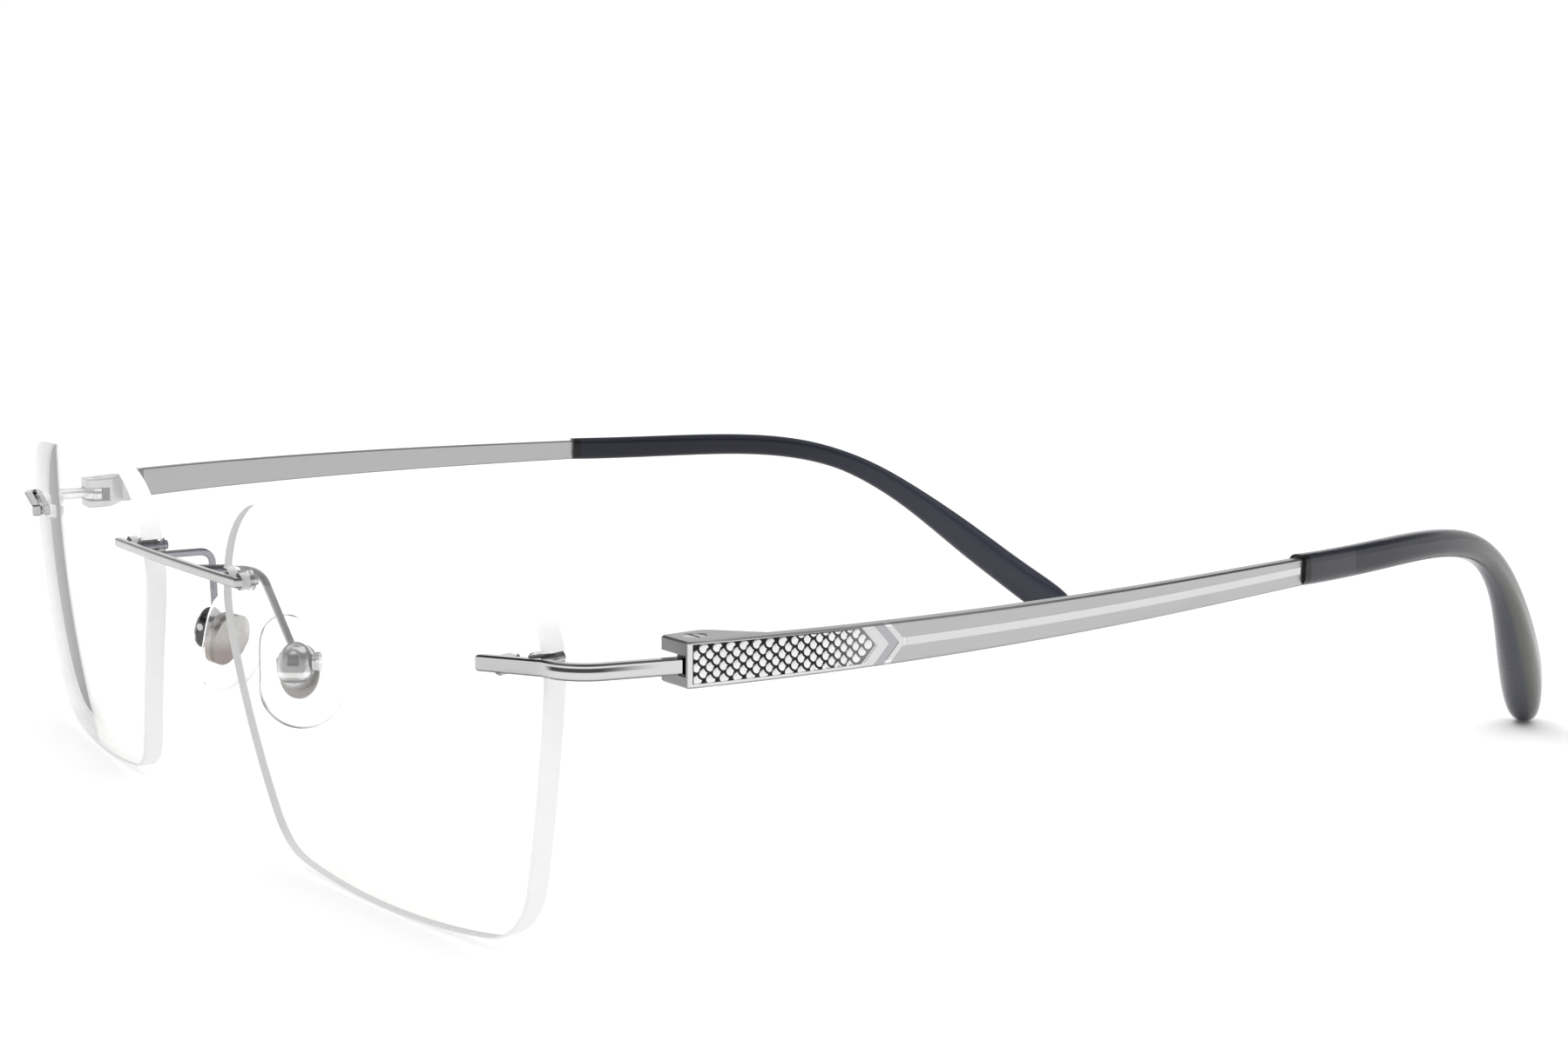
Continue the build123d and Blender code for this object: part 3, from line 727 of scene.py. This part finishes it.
def make_trim():
    tree = part_tree("temple_left")
    vertices, faces = [], []
    for pairs in [chevron_pairs(*ends) for ends in TRIM_CHEVRONS_MM] + [stripe_pairs()]:
        points, sides = ribbon(tree, pairs)
        faces += [tuple(index + len(vertices) for index in side) for side in sides]
        vertices += points
    return vertices, faces


scale_points, scale_faces, scale_blacks = make_scales()
trim_points, trim_faces = make_trim()
for side in ("left", "right"):
    points = scale_points if side == "left" else mirrored(scale_points)
    scales = mesh_object("inlay_scales_" + side, points, scale_faces, materials["scales"])
    scales.data.materials.append(materials["inlay"])
    for face, black in zip(scales.data.polygons, scale_blacks):
        face.material_index = int(black)
    points = trim_points if side == "left" else mirrored(trim_points)
    trim = mesh_object("temple_trim_" + side, points, trim_faces, materials["trim"], smooth=False)
    for piece in (scales, trim):
        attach(piece, side + "_temple")

# ---------------------------------------------------------------- nose pads
# Clear soft drops, thick in the middle and thin at the rim. The outline is the hull of two
# circles, given as back, up and radius from the pad's own origin.
PAD_OUTER_MM = -1.8
PAD_MIDDLE_MM = (-0.35, -0.9)        # back and up
PAD_LOWER_ROUND_MM = (0.3, -2.2, 3.8)
PAD_UPPER_ROUND_MM = (-1.5, 2.3, 2.3)
PAD_HULL_STEPS = 12
PAD_STEPS = 28
PAD_RINGS = (                        # share of the outline, depth in millimetres
    (0.3, 0.1), (0.62, 0.07), (0.84, 0.02), (0.945, 0.0), (0.985, 0.12), (1.0, 0.4), (0.99, 0.85),
    (0.955, 1.35), (0.87, 1.85), (0.7, 2.2), (0.45, 2.36), (0.2, 2.4),
)


def pad_reach(turn):
    """The farthest point of the drop outline in a direction from its middle."""
    back_middle, up_middle = PAD_MIDDLE_MM
    best = (0.0, 0.0, 0.0)
    for step in range(PAD_HULL_STEPS + 1):
        mix = step / PAD_HULL_STEPS
        back, up, radius = (
            low * (1 - mix) + high * mix for low, high in zip(PAD_LOWER_ROUND_MM, PAD_UPPER_ROUND_MM)
        )
        dx, dy = back - back_middle, up - up_middle
        along = dx * cos(turn) + dy * sin(turn)
        inside = along * along - (dx * dx + dy * dy - radius * radius)
        if inside >= 0:
            reach = along + inside ** 0.5
            best = max(best, (reach, back_middle + reach * cos(turn), up_middle + reach * sin(turn)))
    return best[1], best[2]


def make_pad():
    back_middle, up_middle = PAD_MIDDLE_MM
    vertices = []
    for size, depth in PAD_RINGS:
        for step in range(PAD_STEPS):
            back, up = pad_reach(2 * pi * step / PAD_STEPS)
            back = back_middle + (back - back_middle) * size
            up = up_middle + (up - up_middle) * size
            vertices.append(PAD_FRAME @ (Vector((PAD_OUTER_MM - depth, back, up)) * MM))
    faces = ring_sides(len(PAD_RINGS), PAD_STEPS)
    faces.append(tuple(reversed(range(PAD_STEPS))))
    faces.append(tuple(range(len(vertices) - PAD_STEPS, len(vertices))))
    return vertices, faces


pad_points, pad_faces = make_pad()
for side, points in (("left", pad_points), ("right", mirrored(pad_points))):
    pad = mesh_object("soft_nose_pad_" + side, points, pad_faces, materials["silicone"])
    smoothing = pad.modifiers.new("smooth", "SUBSURF")
    smoothing.levels = 2
    smoothing.render_levels = 2
    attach(pad, side + "_pad")
    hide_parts("nose_pad_" + side)

# ---------------------------------------------------------------- floor, world and lights
FLOOR_HALF = 6.0
FLOOR_DROP = 0.00005
SKY_STRENGTH = 1.02
SKY_HORIZON = (1.0, 1.0, 1.0)
SKY_ZENITH = (0.3, 0.3, 0.31)
SKY_BETWEEN = (                      # rise, from 0 at the horizon to 1 overhead, and grey
    (0.3, 1.0), (0.42, 0.3), (0.5, 0.14), (0.62, 0.14), (0.72, 0.75), (0.9, 0.8),
)

paper = Nodes("pale paper", roughness=0.75)
paper.set("Specular IOR Level", 0.15)
paper.colour(paper.mix(paper.noise(30.0), grey(0.8), grey(0.806)))
corners = []
for x, y in ((-1, -1), (1, -1), (1, 1), (-1, 1)):
    corners.append(Vector((x * FLOOR_HALF, y * FLOOR_HALF, -FLOOR_DROP)))
floor = mesh_object("floor", corners, [(0, 1, 2, 3)], paper.material, smooth=False)

world = bpy.data.worlds.new("studio")
world.use_nodes = True
scene.world = world
sky_tree = world.node_tree
sky = sky_tree.nodes["Background"]
sky.inputs["Strength"].default_value = SKY_STRENGTH
direction = sky_tree.nodes.new("ShaderNodeTexCoord")
spread = sky_tree.nodes.new("ShaderNodeSeparateXYZ")
shades = sky_tree.nodes.new("ShaderNodeValToRGB")
stops = shades.color_ramp.elements
stops[0].position = 0.0
stops[0].color = (*SKY_HORIZON, 1.0)
stops[1].position = 1.0
stops[1].color = (*SKY_ZENITH, 1.0)
for position, value in SKY_BETWEEN:
    stops.new(position).color = (*grey(value), 1.0)
sky_tree.links.new(direction.outputs["Generated"], spread.inputs[0])
sky_tree.links.new(spread.outputs["Z"], shades.inputs[0])
sky_tree.links.new(shades.outputs[0], sky.inputs["Color"])


def sun(name, strength, angle, source):
    """A soft sun that shines from the source's direction and isn't seen in reflections."""
    lamp = bpy.data.lights.new(name, "SUN")
    lamp.energy = strength
    lamp.angle = radians(angle)
    made = bpy.data.objects.new(name, lamp)
    made.rotation_euler = Vector(source).to_track_quat("Z", "Y").to_euler()
    made.visible_glossy = False
    made.visible_transmission = False
    scene.collection.objects.link(made)


sun("key", 1.1, 30.0, (-0.35, -0.75, 1.1))
sun("fill", 2.4, 100.0, (0.3, 0.2, 1.5))
